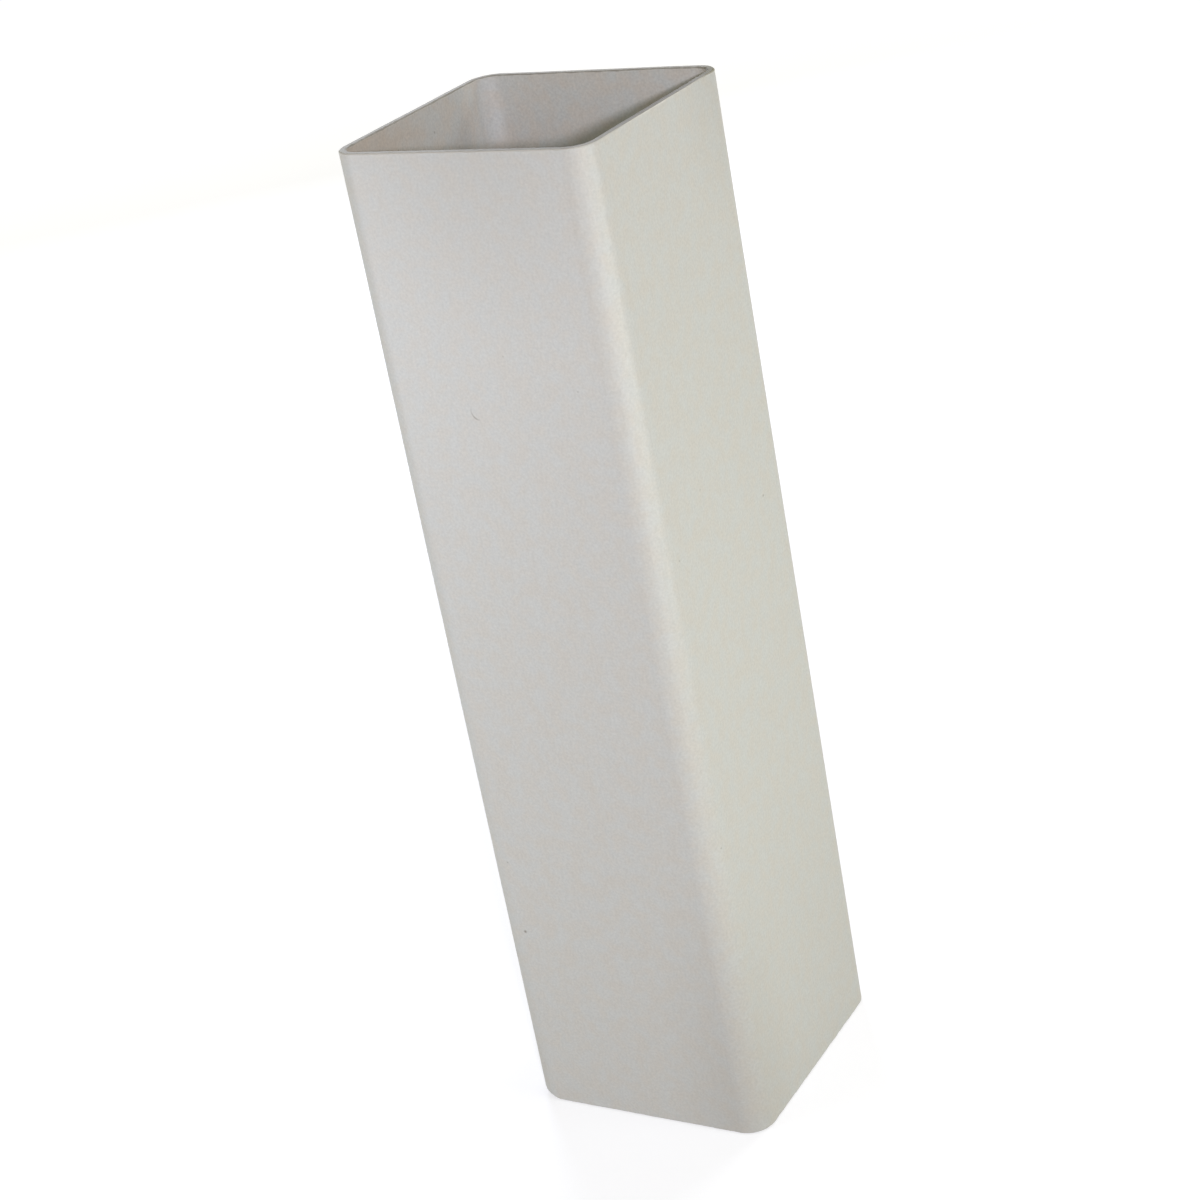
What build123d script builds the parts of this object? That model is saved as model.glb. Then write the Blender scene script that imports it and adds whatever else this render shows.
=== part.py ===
from build123d import *
import os

# Driving dimensions, in millimetres
side = 65.0  # outside width across the flats of the square section
cut_length = 250.0  # length between the two sawn ends
wall = 1.8  # wall thickness, the same all the way round
corner_radius = 6.5  # outside radius of the four long corners
arris = 0.3  # chamfer that deburring leaves on the edges of the sawn ends

# The downpipe is one extrusion in off-white uPVC, a hollow square with rounded corners.
# The bore is the outline offset inwards, so the corner arcs share their centres and the wall stays even.
# It stands on its lower end, with the origin at the middle of that end and +Z up along the pipe.
with BuildPart() as downpipe:
    with BuildSketch(Plane.XY) as section:
        RectangleRounded(side, side, corner_radius)
        offset(amount=-wall, mode=Mode.SUBTRACT)
    extrude(amount=cut_length)
    sawn_ends = faces().filter_by(Axis.Z)
    chamfer(sawn_ends.edges(), length=arris)

downpipe.part.label = "downpipe"

os.makedirs("parts", exist_ok=True)
export_step(downpipe.part, "parts/downpipe.step")
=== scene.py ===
import math

import bpy
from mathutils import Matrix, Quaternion, Vector


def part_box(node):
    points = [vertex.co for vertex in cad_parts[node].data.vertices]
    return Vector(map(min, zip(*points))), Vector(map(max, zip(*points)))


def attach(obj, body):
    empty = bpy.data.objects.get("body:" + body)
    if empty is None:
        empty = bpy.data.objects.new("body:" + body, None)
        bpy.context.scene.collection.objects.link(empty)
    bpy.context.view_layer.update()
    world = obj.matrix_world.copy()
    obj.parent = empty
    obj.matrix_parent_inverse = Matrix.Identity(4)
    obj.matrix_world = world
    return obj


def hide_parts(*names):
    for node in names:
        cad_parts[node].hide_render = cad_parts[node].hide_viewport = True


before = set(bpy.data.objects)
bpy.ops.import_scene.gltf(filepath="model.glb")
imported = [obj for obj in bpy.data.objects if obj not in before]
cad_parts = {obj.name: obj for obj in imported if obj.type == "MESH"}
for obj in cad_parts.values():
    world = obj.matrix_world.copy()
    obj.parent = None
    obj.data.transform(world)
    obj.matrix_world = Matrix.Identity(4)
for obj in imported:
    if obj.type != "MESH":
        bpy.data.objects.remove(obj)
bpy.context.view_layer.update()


# Downpipe
# One short length of rainwater pipe in off-white uPVC, extruded as a hollow square with rounded corners.
# It is sawn to length by hand, so the upper cut runs out of square, and the arrises of both ends are scraped.
# Nothing is fixed to it, so this piece is the whole object.
low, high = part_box("downpipe")
side = high.x - low.x
cut_length = high.z - low.z
wall = 0.0018
corner_radius = 0.0065
arris = 0.0003
mm = 0.001


def add(tree, kind, inputs=None, **settings):
    """Adds a node, with its settings, and sets each input to a value or links it to a socket."""
    made = tree.nodes.new(kind)
    for name, value in settings.items():
        setattr(made, name, value)
    for name, value in (inputs or {}).items():
        if isinstance(value, bpy.types.NodeSocket):
            tree.links.new(value, made.inputs[name])
        else:
            made.inputs[name].default_value = value
    return made


def maths(tree, operation, *values):
    """The result of one sum on numbers or sockets."""
    return add(tree, "ShaderNodeMath", dict(enumerate(values)), operation=operation).outputs[0]


def vector_maths(tree, operation, *values):
    """The result of one sum on vectors: a length or a dot product is a number, and the rest are vectors."""
    made = add(tree, "ShaderNodeVectorMath", dict(enumerate(values)), operation=operation)
    return made.outputs["Value" if operation in ("LENGTH", "DOT_PRODUCT") else "Vector"]


def noise(tree, vector, scale, detail, **settings):
    """Noise about zero, from -1 to 1, on a vector that the scale multiplies."""
    inputs = {"Vector": vector, "Scale": scale, "Detail": detail}
    inputs.update(settings.pop("inputs", {}))
    made = add(tree, "ShaderNodeTexNoise", inputs, **settings)
    return maths(tree, "MULTIPLY_ADD", made.outputs[0], 2, -1)


def between(tree, value, start, end):
    """0 at start and 1 at end, with a smooth rise between them."""
    inputs = {"Value": value, "From Min": start, "From Max": end, "To Min": 0, "To Max": 1}
    return add(tree, "ShaderNodeMapRange", inputs, interpolation_type="SMOOTHSTEP").outputs[0]


def blended(tree, share, colour, other):
    """One colour taken towards another by a share from 0 to 1."""
    return add(tree, "ShaderNodeMix", {0: share, 6: colour, 7: other}, data_type="RGBA").outputs[2]


def new_group(name, inputs, outputs):
    """A shader group with the named sockets, and the sockets that its own nodes read."""
    group = bpy.data.node_groups.new(name, "ShaderNodeTree")
    for socket, kind in inputs.items():
        group.interface.new_socket(socket, in_out="INPUT", socket_type="NodeSocket" + kind)
    for socket in outputs:
        group.interface.new_socket(socket, in_out="OUTPUT", socket_type="NodeSocketFloat")
    return group, group.nodes.new("NodeGroupInput").outputs


# Fine parallel lines, as a die or a saw leaves them, which run along Z
drawn_lines, given = new_group(
    "drawn_lines",
    {"Vector": "Vector", "Spacing": "Float", "Run": "Float"},
    ["Lines"],
)
line_gap = maths(drawn_lines, "DIVIDE", 1, given["Spacing"])
line_run = maths(drawn_lines, "DIVIDE", 1, given["Run"])
line_scales = {"X": line_gap, "Y": line_gap, "Z": line_run}
line_stretch = add(drawn_lines, "ShaderNodeCombineXYZ", line_scales).outputs[0]
line_place = vector_maths(drawn_lines, "MULTIPLY", given["Vector"], line_stretch)
add(drawn_lines, "NodeGroupOutput", {"Lines": noise(drawn_lines, line_place, 1, 2.0)})

# The cloudy tone and the fine grain of a satin plastic surface
satin_grain, given = new_group(
    "satin_grain",
    {"Vector": "Vector", "Cloud": "Float", "Grain": "Float"},
    ["Mottle", "Height"],
)
cloud_scale = maths(satin_grain, "DIVIDE", 1, given["Cloud"])
grain_scale = maths(satin_grain, "DIVIDE", 1, given["Grain"])
grain_outputs = {
    "Mottle": noise(satin_grain, given["Vector"], cloud_scale, 3.0),
    "Height": noise(satin_grain, given["Vector"], grain_scale, 1.0),
}
add(satin_grain, "NodeGroupOutput", grain_outputs)

# A soft-edged spot about one place, with its own reach in each direction
spot, given = new_group("spot", {"Vector": "Vector", "Place": "Vector", "Reach": "Vector"}, ["Mask"])
spot_offset = vector_maths(spot, "SUBTRACT", given["Vector"], given["Place"])
spot_distance = vector_maths(spot, "LENGTH", vector_maths(spot, "DIVIDE", spot_offset, given["Reach"]))
add(spot, "NodeGroupOutput", {"Mask": between(spot, spot_distance, 1, 0)})


def placed(tree, group, output, inputs):
    """One output of a shader group that is placed in a material with its own values."""
    return add(tree, "ShaderNodeGroup", inputs, node_tree=group).outputs[output]


def spots(tree, vector, marks):
    """One mask for several spots, each given by its place and reach in millimetres and its strength."""
    mask = 0.0
    for place, reach, strength in marks:
        inputs = {"Vector": vector, "Place": Vector(place) * mm, "Reach": Vector(reach) * mm}
        one_mask = maths(tree, "MULTIPLY", placed(tree, spot, "Mask", inputs), strength)
        mask = maths(tree, "MAXIMUM", mask, one_mask)
    return mask


def new_material(name):
    """A material, its tree and shader, and the object coordinates that its patterns read."""
    made = bpy.data.materials.new(name)
    made.use_nodes = True
    tree = made.node_tree
    return made, tree, tree.nodes["Principled BSDF"], add(tree, "ShaderNodeTexCoord").outputs["Object"]


def finish(tree, shader, colour, roughness, heights):
    """Links the colour, the roughness and a chain of bumps, each a height with its depth in metres."""
    tree.links.new(colour, shader.inputs["Base Color"])
    tree.links.new(roughness, shader.inputs["Roughness"])
    normal = None
    for height, depth in heights:
        inputs = {"Height": height, "Distance": depth, "Strength": 1.0}
        if normal:
            inputs["Normal"] = normal
        normal = add(tree, "ShaderNodeBump", inputs).outputs[0]
    tree.links.new(normal, shader.inputs["Normal"])


# The outside is satin, with faint die lines, a few specks of dirt, a hooked scratch and a scuff. Painted
# shade darkens the top of the front face, the back of the right face's top and the foot of both front
# corners, and a painted highlight makes the two front corners a little paler towards the top.
upvc_colour = (0.631, 0.608, 0.556, 1)
upvc_cool = (0.609, 0.612, 0.584, 1)
upvc_ior = 1.53
cool_patches = (-0.4, 0.4)
grain_size = {"Cloud": 4 * mm, "Grain": 0.6 * mm}
mottle_tone = 0.035
line_tone = 0.02
skin_grain_tone = 0.12
scuff_tone = -0.03
hook_dirt = 0.5
faintest_lines = 0.3
skin_dullness = 0.46
dirt_and_shade_colour = (0.20, 0.17, 0.13, 1)
speck = (0.4, 0.4, 0.4)
dirt_marks = [
    ((-25.1, -32.5, 51.1), (0.65, 0.65, 0.65), 0.85),
    ((-25.9, -32.5, 71.0), speck, 0.5),
    ((2.5, -32.5, 203.5), speck, 0.25),
    ((19.9, -32.5, 195.6), speck, 0.3),
    ((32.5, -24.0, 152.0), speck, 0.5),
    ((32.5, 18.5, 149.1), (0.5, 0.5, 0.5), 0.6),
    ((32.5, -9.9, 163.1), speck, 0.3),
    ((32.2, -27.8, 79.7), speck, 0.5),
]
# Painted shade: the top of the front face, the back of the right face's top and the foot of both front
# corners are darkened towards the dirt colour.
painted_shade_patches = [
    ((4.0, -32.5, 256.0), (50, 10, 60), 0.17),
    ((29.0, -31.0, 0.0), (24, 24, 85), 0.15),
    ((-32.0, -30.5, 0.0), (6, 8, 120), 0.16),
    ((32.5, 30.0, 252.0), (6, 26, 44), 0.12),
]
line_areas = [
    ((21.1, -32.5, 34.8), (12, 6, 60), 1.0),
    ((32.5, -20.3, 211.6), (6, 10, 45), 0.8),
]
# Painted highlight: the two front corners are made paler towards the top.
painted_highlight_ridges = [
    ((30.6, -30.6, 240.0), (1.9, 1.9, 225), 0.08),
    ((-29.6, -31.3, 240.0), (3.2, 3.2, 130), 0.07),
]
scuff_area = [((-7.5, -32.5, 28.2), (7.0, 2.0, 0.8), 1.0)]
hook_area = [((-8.1, -32.5, 188.9), (1.7, 1.0, 3.2), 1.2)]
hook_middle = Vector((-6.66, -32.5, 190.43)) * mm
hook_radius = 2.2 * mm
hook_width = 0.32 * mm

skin, tree, shader, here = new_material("upvc_skin")
die_lines = placed(tree, drawn_lines, "Lines", {"Vector": here, "Spacing": 0.9 * mm, "Run": 120 * mm})
grain = add(tree, "ShaderNodeGroup", {"Vector": here, **grain_size}, node_tree=satin_grain)
clear_lines = spots(tree, here, line_areas)
line_strength = maths(tree, "MULTIPLY_ADD", clear_lines, 1 - faintest_lines, faintest_lines)
marked_lines = maths(tree, "MULTIPLY", die_lines, line_strength)
hook_offset = vector_maths(tree, "SUBTRACT", here, hook_middle)
hook_distance = vector_maths(tree, "LENGTH", hook_offset)
hook_miss = maths(tree, "ABSOLUTE", maths(tree, "SUBTRACT", hook_distance, hook_radius))
hook = maths(tree, "MULTIPLY", between(tree, hook_miss, hook_width, 0), spots(tree, here, hook_area))
scuff = spots(tree, here, scuff_area)
tint = blended(tree, between(tree, grain.outputs["Mottle"], *cool_patches), upvc_colour, upvc_cool)
tone = maths(tree, "MULTIPLY_ADD", grain.outputs["Mottle"], mottle_tone, 1)
tone = maths(tree, "MULTIPLY_ADD", grain.outputs["Height"], skin_grain_tone, tone)
tone = maths(tree, "MULTIPLY_ADD", marked_lines, line_tone, tone)
tone = maths(tree, "MULTIPLY_ADD", scuff, scuff_tone, tone)
tone = maths(tree, "ADD", spots(tree, here, painted_highlight_ridges), tone)
clean = vector_maths(tree, "MULTIPLY", tint, tone)
dirty_hook = maths(tree, "MULTIPLY", hook, hook_dirt)
# The dirt specks and the painted shade patches blend towards one dirt and shade colour.
dirt_and_shade = maths(tree, "MAXIMUM", spots(tree, here, dirt_marks + painted_shade_patches), dirty_hook)
skin_roughness = maths(tree, "MULTIPLY_ADD", grain.outputs["Mottle"], 0.04, skin_dullness)
skin_roughness = maths(tree, "MULTIPLY_ADD", marked_lines, 0.06, skin_roughness)
shader.inputs["IOR"].default_value = upvc_ior
finish(
    tree,
    shader,
    blended(tree, dirt_and_shade, clean, dirt_and_shade_colour),
    skin_roughness,
    [(marked_lines, 0.012 * mm), (grain.outputs["Height"], 0.004 * mm)],
)

# The bore is the same plastic, duller and with deeper lines, because nothing sizes it behind the die. Its
# colours are a darker, warmer copy of the skin's, which paints in shade. Its left wall is darker and browner
# by the near corner, and has a painted paler streak of light by the far one.
# Painted shade: the bore's colours are a darker, warmer copy of the skin's.
bore_shaded_colour = (0.595, 0.562, 0.506, 1)
bore_shaded_cool = (0.562, 0.572, 0.548, 1)
bore_near_corner_brown = (0.47, 0.38, 0.29, 1)
bore_grain_tone = 0.17
bore_dullness = 0.55
near_corner_brown_area = [((-30.7, -30.0, 244.0), (12.0, 46.0, 40.0), 0.6)]
# Painted light: a paler streak on the left wall by the far corner.
painted_light_streak = [((-30.7, 24.0, 230.0), (3.0, 6.5, 60.0), 0.16)]
bore_marks = [
    ((-30.7, 6.5, 242.9), (0.5, 0.5, 0.5), 0.5),
    ((-30.7, -8.8, 243.4), (0.4, 0.4, 0.4), 0.4),
]
bore, tree, shader, here = new_material("upvc_bore")
die_lines = placed(tree, drawn_lines, "Lines", {"Vector": here, "Spacing": 1.6 * mm, "Run": 90 * mm})
grain = add(tree, "ShaderNodeGroup", {"Vector": here, **grain_size}, node_tree=satin_grain)
tone = maths(tree, "MULTIPLY_ADD", grain.outputs["Mottle"], mottle_tone, 1)
tone = maths(tree, "MULTIPLY_ADD", grain.outputs["Height"], bore_grain_tone, tone)
tone = maths(tree, "MULTIPLY_ADD", die_lines, line_tone, tone)
tone = maths(tree, "ADD", spots(tree, here, painted_light_streak), tone)
tint = blended(tree, between(tree, grain.outputs["Mottle"], *cool_patches), bore_shaded_colour, bore_shaded_cool)
tint = blended(tree, spots(tree, here, near_corner_brown_area), tint, bore_near_corner_brown)
clean = vector_maths(tree, "MULTIPLY", tint, tone)
shader.inputs["IOR"].default_value = upvc_ior
finish(
    tree,
    shader,
    blended(tree, spots(tree, here, bore_marks), clean, dirt_and_shade_colour),
    maths(tree, "MULTIPLY_ADD", die_lines, 0.05, bore_dullness),
    [(die_lines, 0.02 * mm), (grain.outputs["Height"], 0.006 * mm)],
)

# The sawn ends are rough, with the strokes of the saw across them and grime along the inner arris, with
# painted shadow of the burr making it darker on the right and front rims. The upper rim is also darker on its
# right and front sides, has a painted shadow by its back right corner, and a paler outer arris where it is
# scraped, made paler still on the right side as a painted highlight.
sawn_colour = (0.41, 0.395, 0.36, 1)
scraped_and_highlight_colour = (0.80, 0.78, 0.73, 1)
grime_and_shade_colour = (0.12, 0.105, 0.08, 1)
# Grime and painted shadow of the burr: the inner arris is darkened most on the right and front rims.
grime_and_shadow_areas = [
    ((31.6, 6.0, 250.0), (9, 66, 9), 0.95),
    ((16.0, -31.6, 250.0), (38, 9, 9), 0.9),
]
darker_rim_areas = [
    ((31.6, 2.0, 250.0), (6, 50, 9), 0.62),
    ((18.0, -31.6, 250.0), (34, 6, 9), 0.35),
]
# Painted shadow: an olive patch on the rim by its back right corner.
painted_shadow_area = [((31.0, 27.5, 249.0), (6, 9, 6), 0.85)]
painted_shadow_colour = (0.24, 0.225, 0.15, 1)
# Scraped and painted highlight: the outer arris is paler all round, and paler still on the right rim as a
# painted highlight.
highlight_arris_area = [((32.3, 0.0, 250.0), (6, 42, 6), 1.0)]
least_scraped = 0.55
least_grime = 0.35
outer_arris = (0.82, 0.92)
inner_arris = (0.45, 0.12)
stroke_tone = 0.10
sawn_mottle_tone = 0.06
sawn_dullness = 0.72
saw_turn = math.radians(14)
sawn_grain_size = {"Cloud": 2.2 * mm, "Grain": 0.25 * mm}

sawn, tree, shader, here = new_material("upvc_sawn")
stroke_turn = {"Vector": here, "Rotation": (0, math.pi / 2, saw_turn)}
stroke_place = add(tree, "ShaderNodeMapping", stroke_turn).outputs[0]
stroke_size = {"Spacing": 0.35 * mm, "Run": 14 * mm}
strokes = placed(tree, drawn_lines, "Lines", {"Vector": stroke_place, **stroke_size})
grain = add(tree, "ShaderNodeGroup", {"Vector": here, **sawn_grain_size}, node_tree=satin_grain)
across = add(tree, "ShaderNodeAttribute", attribute_name="across_wall").outputs["Fac"]
inner_edge = between(tree, across, *inner_arris)
broken = between(tree, grain.outputs["Mottle"], -0.5, 0.15)
grime_and_shadow_depth = maths(tree, "MAXIMUM", spots(tree, here, grime_and_shadow_areas), least_grime)
grime_and_shadow = maths(tree, "MULTIPLY", maths(tree, "MULTIPLY", inner_edge, broken), grime_and_shadow_depth)
off_arris = between(tree, across, *reversed(outer_arris))
rim_darkening = maths(tree, "MULTIPLY", spots(tree, here, darker_rim_areas), off_arris)
tone = maths(tree, "MULTIPLY_ADD", strokes, stroke_tone, 1)
tone = maths(tree, "MULTIPLY_ADD", grain.outputs["Mottle"], sawn_mottle_tone, tone)
scraped_and_highlight_share = maths(tree, "MAXIMUM", spots(tree, here, highlight_arris_area), least_scraped)
scraped_and_highlight = maths(tree, "MULTIPLY", between(tree, across, *outer_arris), scraped_and_highlight_share)
bare = blended(tree, scraped_and_highlight, sawn_colour, scraped_and_highlight_colour)
shadow_painted = blended(tree, spots(tree, here, painted_shadow_area), bare, painted_shadow_colour)
clean = vector_maths(tree, "MULTIPLY", shadow_painted, tone)
shader.inputs["IOR"].default_value = upvc_ior
shader.inputs["Specular IOR Level"].default_value = 0.15
finish(
    tree,
    shader,
    blended(tree, maths(tree, "MAXIMUM", grime_and_shadow, rim_darkening), clean, grime_and_shade_colour),
    maths(tree, "MULTIPLY_ADD", strokes, 0.08, sawn_dullness),
    [(strokes, 0.03 * mm), (grain.outputs["Height"], 0.015 * mm)],
)

# The wall's own section, a tall thin rectangle with its arrises taken off, is swept round the pipe's middle
# line.
corner_steps = 32
pipe_tree = bpy.data.node_groups.new("extruded_and_sawn", "GeometryNodeTree")
pipe_sizes = {
    "Side": side,
    "Cut Length": cut_length,
    "Wall": wall,
    "Corner Radius": corner_radius,
    "Arris": arris,
    "Point Spacing": 0.25 * mm,
    "Run-Out Right": 0.57 * mm,
    "Run-Out Back": 0.61 * mm,
    "Saw Wander": 0.16 * mm,
    "Wander Wave": 18 * mm,
    "Scrape Wave": 3.0 * mm,
    "Foot Wear": 1.6 * mm,
    "Wear Reach": 8 * mm,
    "Seed": 7.0,
}
sockets = {
    name: pipe_tree.interface.new_socket(name, in_out="INPUT", socket_type="NodeSocketFloat").identifier
    for name in pipe_sizes
}
pipe_tree.interface.new_socket("Pipe", in_out="OUTPUT", socket_type="NodeSocketGeometry")
size = pipe_tree.nodes.new("NodeGroupInput").outputs

middle_side = maths(pipe_tree, "SUBTRACT", size["Side"], size["Wall"])
half_wall = maths(pipe_tree, "DIVIDE", size["Wall"], 2)
middle_radius = maths(pipe_tree, "SUBTRACT", size["Corner Radius"], half_wall)
square = add(
    pipe_tree,
    "GeometryNodeCurvePrimitiveQuadrilateral",
    {"Width": middle_side, "Height": middle_side},
)
rounded = add(
    pipe_tree,
    "GeometryNodeFilletCurve",
    {"Curve": square.outputs["Curve"], "Count": corner_steps, "Radius": middle_radius},
    mode="POLY",
)
stepped = add(
    pipe_tree,
    "GeometryNodeResampleCurve",
    {"Curve": rounded.outputs["Curve"], "Length": size["Point Spacing"]},
    mode="LENGTH",
)
upright = add(pipe_tree, "GeometryNodeSetCurveNormal", {"Curve": stepped.outputs["Curve"]}, mode="Z_UP")
wall_section = add(
    pipe_tree,
    "GeometryNodeCurvePrimitiveQuadrilateral",
    {"Width": size["Wall"], "Height": size["Cut Length"]},
)
eased_section = add(
    pipe_tree,
    "GeometryNodeFilletCurve",
    {"Curve": wall_section.outputs["Curve"], "Count": 1, "Radius": size["Arris"]},
    mode="POLY",
)
section_x = add(
    pipe_tree, "ShaderNodeSeparateXYZ", {0: add(pipe_tree, "GeometryNodeInputPosition").outputs[0]}
).outputs["X"]
across_share = maths(pipe_tree, "ADD", maths(pipe_tree, "DIVIDE", section_x, size["Wall"]), 0.5)
marked_section = add(
    pipe_tree,
    "GeometryNodeStoreNamedAttribute",
    {"Geometry": eased_section.outputs["Curve"], "Name": "across_wall", "Value": across_share},
)
swept = add(
    pipe_tree,
    "GeometryNodeCurveToMesh",
    {"Curve": upright.outputs["Curve"], "Profile Curve": marked_section.outputs["Geometry"]},
)
half_length = maths(pipe_tree, "DIVIDE", size["Cut Length"], 2)
lift = add(pipe_tree, "ShaderNodeCombineXYZ", {"Z": half_length}).outputs[0]
stood = add(pipe_tree, "GeometryNodeSetPosition", {"Geometry": swept.outputs["Mesh"], "Offset": lift})

# The upper cut runs out to the right and to the back. The saw also wanders a little at both ends, and the
# scraper takes more or less off each arris and misses some of it. The foot's front left corner is worn
# round.
worn_corner = Vector((-31.4, -29.5, 0)) * mm
scrape_missed = 0.2
most_missed = 0.85
point = add(pipe_tree, "GeometryNodeInputPosition").outputs[0]
point_parts = add(pipe_tree, "ShaderNodeSeparateXYZ", {0: point}).outputs
above_middle = maths(pipe_tree, "SUBTRACT", point_parts["Z"], half_length)
end_sign = maths(pipe_tree, "SIGN", above_middle)
end_depth = maths(pipe_tree, "SUBTRACT", half_length, maths(pipe_tree, "ABSOLUTE", above_middle))
right_share = maths(pipe_tree, "ADD", maths(pipe_tree, "DIVIDE", point_parts["X"], size["Side"]), 0.5)
back_share = maths(pipe_tree, "ADD", maths(pipe_tree, "DIVIDE", point_parts["Y"], size["Side"]), 0.5)
run_right = maths(pipe_tree, "MULTIPLY", right_share, size["Run-Out Right"])
run_both = maths(pipe_tree, "MULTIPLY_ADD", back_share, size["Run-Out Back"], run_right)
run_out = maths(pipe_tree, "MULTIPLY", run_both, maths(pipe_tree, "GREATER_THAN", end_sign, 0))
on_side = maths(pipe_tree, "GREATER_THAN", end_depth, maths(pipe_tree, "DIVIDE", size["Arris"], 2))
end_seed = maths(pipe_tree, "ADD", size["Seed"], end_sign)
wander_scale = maths(pipe_tree, "DIVIDE", 1, size["Wander Wave"])
scrape_scale = maths(pipe_tree, "DIVIDE", 1, size["Scrape Wave"])
wander_wave = noise(pipe_tree, point, wander_scale, 2.0, inputs={"W": end_seed}, noise_dimensions="4D")
scrape_wave = noise(pipe_tree, point, scrape_scale, 3.0, inputs={"W": end_seed}, noise_dimensions="4D")
wander_share = maths(pipe_tree, "MULTIPLY_ADD", wander_wave, 0.5, 0.5)
wander = maths(pipe_tree, "MULTIPLY", wander_share, size["Saw Wander"])
scrape_share = maths(pipe_tree, "SUBTRACT", scrape_wave, scrape_missed)
scrape_depth = maths(pipe_tree, "MULTIPLY", scrape_share, size["Arris"])
scrape_limit = maths(pipe_tree, "MULTIPLY", size["Arris"], -most_missed)
scrape = maths(pipe_tree, "MULTIPLY", maths(pipe_tree, "MAXIMUM", scrape_depth, scrape_limit), on_side)
flat_point = vector_maths(pipe_tree, "MULTIPLY", point, (1, 1, 0))
corner_offset = vector_maths(pipe_tree, "SUBTRACT", flat_point, worn_corner)
corner_distance = vector_maths(pipe_tree, "LENGTH", corner_offset)
wear_share = between(pipe_tree, maths(pipe_tree, "DIVIDE", corner_distance, size["Wear Reach"]), 1, 0)
wear_depth = maths(pipe_tree, "MULTIPLY", wear_share, size["Foot Wear"])
wear = maths(pipe_tree, "MULTIPLY", wear_depth, maths(pipe_tree, "LESS_THAN", end_sign, 0))
saw_depth = maths(pipe_tree, "ADD", run_out, wander)
cut_depth = maths(pipe_tree, "ADD", saw_depth, wear)
taken_off = maths(pipe_tree, "MULTIPLY", maths(pipe_tree, "ADD", cut_depth, scrape), end_sign)
cut_height = maths(pipe_tree, "MULTIPLY", taken_off, -1)
cut_back = add(pipe_tree, "ShaderNodeCombineXYZ", {"Z": cut_height}).outputs[0]
cut = add(pipe_tree, "GeometryNodeSetPosition", {"Geometry": stood.outputs["Geometry"], "Offset": cut_back})

sharp_angle = math.radians(12)
edge_angle = add(pipe_tree, "GeometryNodeInputMeshEdgeAngle").outputs[0]
sharp = maths(pipe_tree, "GREATER_THAN", edge_angle, sharp_angle)
shaded = add(
    pipe_tree,
    "GeometryNodeSetShadeSmooth",
    {"Geometry": cut.outputs["Geometry"], "Selection": sharp, "Shade Smooth": False},
    domain="EDGE",
)
facing = add(pipe_tree, "GeometryNodeInputNormal").outputs[0]
facing_parts = add(pipe_tree, "ShaderNodeSeparateXYZ", {0: facing}).outputs
outward = vector_maths(pipe_tree, "DOT_PRODUCT", flat_point, facing)
is_bore = maths(pipe_tree, "LESS_THAN", outward, 0)
sawn_slope = 0.2
is_sawn = maths(pipe_tree, "GREATER_THAN", maths(pipe_tree, "ABSOLUTE", facing_parts["Z"]), sawn_slope)
dressed = shaded.outputs["Geometry"]
for material, faces in ((skin, True), (bore, is_bore), (sawn, is_sawn)):
    inputs = {"Geometry": dressed, "Selection": faces, "Material": material}
    dressed = add(pipe_tree, "GeometryNodeSetMaterial", inputs).outputs["Geometry"]
add(pipe_tree, "NodeGroupOutput", {"Pipe": dressed})

pipe = bpy.data.objects.new("downpipe_extrusion", bpy.data.meshes.new("blank"))
bpy.context.scene.collection.objects.link(pipe)
modifier = pipe.modifiers.new("extruded_and_sawn", "NODES")
modifier.node_group = pipe_tree
for name, identifier in sockets.items():
    modifier[identifier] = pipe_sizes[name]
evaluated = pipe.evaluated_get(bpy.context.evaluated_depsgraph_get())
pipe_mesh = bpy.data.meshes.new_from_object(evaluated)
pipe.modifiers.remove(modifier)
pipe.data = pipe_mesh
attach(pipe, "root")
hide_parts("downpipe")


# Floor
# A plain pale sheet that the pipe stands on, wide enough to fill the picture. It looks white where nothing
# shades it, and it throws only a little light back up at the pipe.
floor_half = 3.0
floor_shown = (0.44, 0.44, 0.46, 1)
floor_glow = 0.6
floor_far_glow = 0.85
lamp_reach = (0.5, 1.3)
floor_bounce = (0.16, 0.15, 0.11, 1)
floor_corners = [(x * floor_half, y * floor_half, 0) for x, y in ((-1, -1), (1, -1), (1, 1), (-1, 1))]
floor_mesh = bpy.data.meshes.new("floor")
floor_mesh.from_pydata(floor_corners, [], [(0, 1, 2, 3)])
floor = bpy.data.objects.new("floor", floor_mesh)
bpy.context.scene.collection.objects.link(floor)


def seen_directly(tree):
    """1 on rays from the camera, in reflections and through glass, and 0 on the rays that light a surface."""
    path = add(tree, "ShaderNodeLightPath").outputs
    reflected = maths(tree, "MAXIMUM", path["Is Glossy Ray"], path["Is Transmission Ray"])
    return maths(tree, "MAXIMUM", path["Is Camera Ray"], reflected)


floor_paint, tree, shader, here = new_material("pale_floor")
shader.inputs["Base Color"].default_value = floor_bounce
shader.inputs["Roughness"].default_value = 0.9
shader.inputs["Specular IOR Level"].default_value = 0.0
shown = add(tree, "ShaderNodeBsdfDiffuse", {"Color": floor_shown}).outputs[0]
past_lamps = between(tree, vector_maths(tree, "LENGTH", here), *lamp_reach)
glow_level = maths(tree, "MULTIPLY_ADD", past_lamps, floor_far_glow - floor_glow, floor_glow)
glow = add(tree, "ShaderNodeEmission", {"Color": (1, 1, 1, 1), "Strength": glow_level}).outputs[0]
white = add(tree, "ShaderNodeAddShader", {0: shown, 1: glow}).outputs[0]
floor_looks = {0: seen_directly(tree), 1: shader.outputs[0], 2: white}
floor_mix = add(tree, "ShaderNodeMixShader", floor_looks).outputs[0]
tree.links.new(floor_mix, tree.nodes["Material Output"].inputs["Surface"])
floor_mesh.materials.append(floor_paint)


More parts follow.
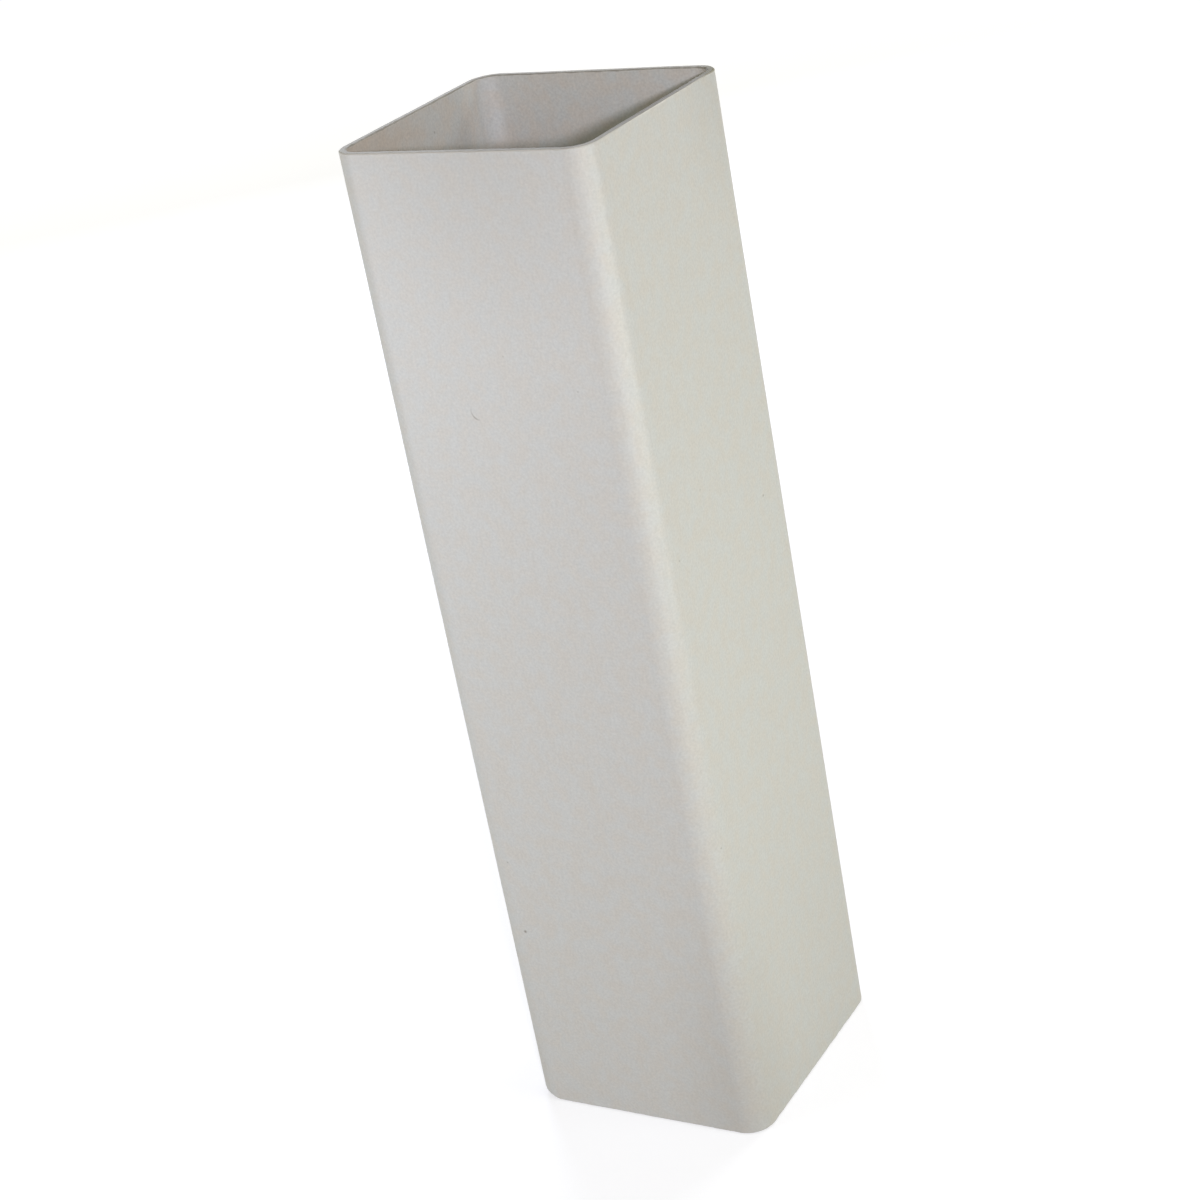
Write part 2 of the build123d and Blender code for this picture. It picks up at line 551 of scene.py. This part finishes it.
# Light and camera
# Soft round studio lamps stand about the pipe in an even, pale room, and the camera stands where the fit to
# the photograph's outline puts it.
world = bpy.data.worlds.new("studio")
bpy.context.scene.world = world
world.use_nodes = True
tree = world.node_tree
room_light = (0.42, 0.405, 0.335)
room = tree.nodes["Background"]
room_seen = blended(tree, seen_directly(tree), (*room_light, 1), (1, 1, 1, 1))
tree.links.new(room_seen, room.inputs["Color"])
room.inputs["Strength"].default_value = 1

lamps = {
    "key": (36.7, 12.25, 0.25, 0.90, 0.05, 4.2, (0.89, 0.865, 1.0)),
    "left": (-42, 0, 0.135, 0.33, 0.16, 0.36, (0.83, 0.89, 1.0)),
    "right": (87, 0, 0.125, 0.33, 0.16, 0.36, (0.93, 1.0, 0.92)),
    "back": (165, 33, 0.17, 0.90, 0.30, 2.0, (1.0, 1.0, 1.0)),
    "back_left": (-142, 20, 0.17, 0.90, 0.30, 4.4, (0.76, 0.83, 1.0)),
}
for name, (azimuth, elevation, aim_height, distance, diameter, watts, colour) in lamps.items():
    round_it, up = math.radians(azimuth), math.radians(elevation)
    reach = distance * math.cos(up)
    lamp_data = bpy.data.lights.new(name, "AREA")
    lamp_data.shape = "DISK"
    lamp_data.size = diameter
    lamp_data.energy = watts
    lamp_data.color = colour
    lamp = bpy.data.objects.new(name, lamp_data)
    bpy.context.scene.collection.objects.link(lamp)
    away = Vector((reach * math.sin(round_it), -reach * math.cos(round_it), distance * math.sin(up)))
    lamp.location = Vector((0, 0, aim_height)) + away
    lamp.rotation_mode = "QUATERNION"
    lamp.rotation_quaternion = (-away).to_track_quat("-Z", "Y")
    lamp.visible_camera = False

camera_place = Vector((0.30336, -0.46885, 0.37763))
camera_aim = Vector((-0.0042, -0.00297, 0.12959))
camera_roll = math.radians(10.9592)
camera_data = bpy.data.cameras.new("camera")
camera_data.lens = 76.459
camera_data.sensor_width = 36
camera = bpy.data.objects.new("camera", camera_data)
bpy.context.scene.collection.objects.link(camera)
camera.location = camera_place
camera.rotation_mode = "QUATERNION"
level = (camera_aim - camera_place).to_track_quat("-Z", "Y")
camera.rotation_quaternion = level @ Quaternion((0, 0, 1), -camera_roll)
bpy.context.scene.camera = camera
bpy.context.scene.view_settings.view_transform = "Standard"
